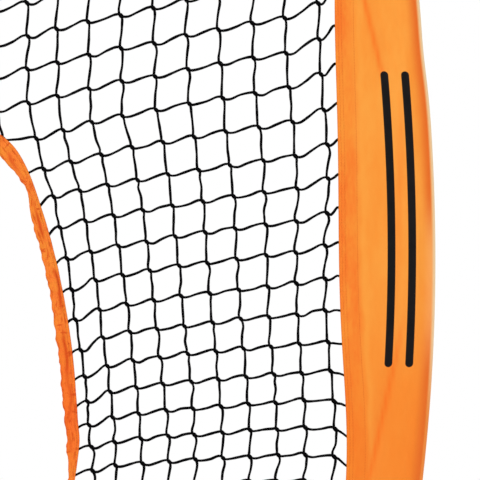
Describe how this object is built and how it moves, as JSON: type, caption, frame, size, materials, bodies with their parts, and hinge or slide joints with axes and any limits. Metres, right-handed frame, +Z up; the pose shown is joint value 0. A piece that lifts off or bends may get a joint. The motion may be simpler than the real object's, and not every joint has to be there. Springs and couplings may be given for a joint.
{
  "type": "portable training net",
  "caption": "Free-standing square-mesh net with a bound pitch-through opening, hung between two bowed poles in fabric sleeves on a steel base with folding legs.",
  "frame": {"origin": "on the floor under the middle of the base, at the centre of the bounding box's bottom", "axes": "+X to the right seen from the front, +Y to the back through the net, +Z up"},
  "size_m": [2.134, 0.964, 2.134],
  "materials": {
    "orange_fabric": "woven polyester, slight sheen",
    "net_cord": "knotless knitted cord",
    "black_steel": "satin powder coat",
    "zinc_steel": "zinc plated",
    "fibreglass": "pultruded fibreglass, smooth",
    "black_nylon": "moulded nylon",
    "black_vinyl": "dipped vinyl",
    "black_rubber": "moulded rubber",
    "elastic_cord": "braided cover over rubber",
    "black_webbing": "flat woven webbing",
    "nickel": "nickel plated"
  },
  "bodies": {
    "screen": {"base_center_tube": "black_steel", "base_left_tube": "black_steel", "base_right_tube": "black_steel", "inner_clip_left": "zinc_steel", "inner_clip_right": "zinc_steel", "outer_clip_left": "zinc_steel", "outer_clip_right": "zinc_steel", "corner_bracket_left": "black_steel", "corner_bracket_right": "black_steel", "bracket_pad_left": "black_rubber", "bracket_pad_right": "black_rubber", "pivot_bolts_left": "zinc_steel", "pivot_bolts_right": "zinc_steel", "pivot_nuts_left": "zinc_steel", "pivot_nuts_right": "zinc_steel", "pole_lower_left": "fibreglass", "pole_lower_right": "fibreglass", "pole_middle_left": "fibreglass", "pole_middle_right": "fibreglass", "pole_upper_left": "fibreglass", "pole_upper_right": "fibreglass", "ferrules_left": "zinc_steel", "ferrules_right": "zinc_steel", "pole_tip_left": "black_vinyl", "pole_tip_right": "black_vinyl", "shock_cord_left": "elastic_cord", "shock_cord_right": "elastic_cord", "sleeve_left": "orange_fabric", "sleeve_right": "orange_fabric", "pole_pocket_left": "black_webbing", "pole_pocket_right": "black_webbing", "net": "net_cord", "opening_binding": "orange_fabric", "top_hem": "orange_fabric", "bottom_hem": "orange_fabric", "corner_strap_left": "black_webbing", "corner_strap_right": "black_webbing", "hem_grommets": "nickel", "bungee_loops": "elastic_cord", "bungee_balls": "black_nylon"},
    "front_left_leg": {"leg_tube_front_left": "black_steel", "knuckle_front_left": "black_nylon", "foot_front_left": "black_rubber", "leg_rivets_front_left": "zinc_steel"},
    "front_right_leg": {"leg_tube_front_right": "black_steel", "knuckle_front_right": "black_nylon", "foot_front_right": "black_rubber", "leg_rivets_front_right": "zinc_steel"},
    "rear_left_leg": {"leg_tube_rear_left": "black_steel", "knuckle_rear_left": "black_nylon", "foot_rear_left": "black_rubber", "leg_rivets_rear_left": "zinc_steel"},
    "rear_right_leg": {"leg_tube_rear_right": "black_steel", "knuckle_rear_right": "black_nylon", "foot_rear_right": "black_rubber", "leg_rivets_rear_right": "zinc_steel"},
    "inner_button_left": {"inner_button_left": "zinc_steel"},
    "inner_button_right": {"inner_button_right": "zinc_steel"},
    "outer_button_left": {"outer_button_left": "zinc_steel"},
    "outer_button_right": {"outer_button_right": "zinc_steel"}
  },
  "joints": [
    {"name": "front_left_fold", "type": "hinge", "parent": "screen", "child": "front_left_leg", "pos_m": [-0.87283, -0.042, 0.028], "axis": [0, 0, 1], "range_deg": [0, 90]},
    {"name": "front_right_fold", "type": "hinge", "parent": "screen", "child": "front_right_leg", "pos_m": [0.87283, -0.042, 0.028], "axis": [0, 0, -1], "range_deg": [0, 90]},
    {"name": "rear_left_fold", "type": "hinge", "parent": "screen", "child": "rear_left_leg", "pos_m": [-0.87283, 0.042, 0.028], "axis": [0, 0, -1], "range_deg": [0, 90]},
    {"name": "rear_right_fold", "type": "hinge", "parent": "screen", "child": "rear_right_leg", "pos_m": [0.87283, 0.042, 0.028], "axis": [0, 0, 1], "range_deg": [0, 90]},
    {"name": "inner_button_left_press", "type": "slide", "parent": "screen", "child": "inner_button_left", "axis": [0, 0, -1], "range_m": [0, 0.0045], "stiffness_N_per_m": 800, "springref_m": -0.004, "deforming": ["inner_clip_left"]},
    {"name": "inner_button_right_press", "type": "slide", "parent": "screen", "child": "inner_button_right", "axis": [0, 0, -1], "range_m": [0, 0.0045], "stiffness_N_per_m": 800, "springref_m": -0.004, "deforming": ["inner_clip_right"]},
    {"name": "outer_button_left_press", "type": "slide", "parent": "screen", "child": "outer_button_left", "axis": [0, 0, -1], "range_m": [0, 0.0045], "stiffness_N_per_m": 800, "springref_m": -0.004, "deforming": ["outer_clip_left"]},
    {"name": "outer_button_right_press", "type": "slide", "parent": "screen", "child": "outer_button_right", "axis": [0, 0, -1], "range_m": [0, 0.0045], "stiffness_N_per_m": 800, "springref_m": -0.004, "deforming": ["outer_clip_right"]}
  ]
}
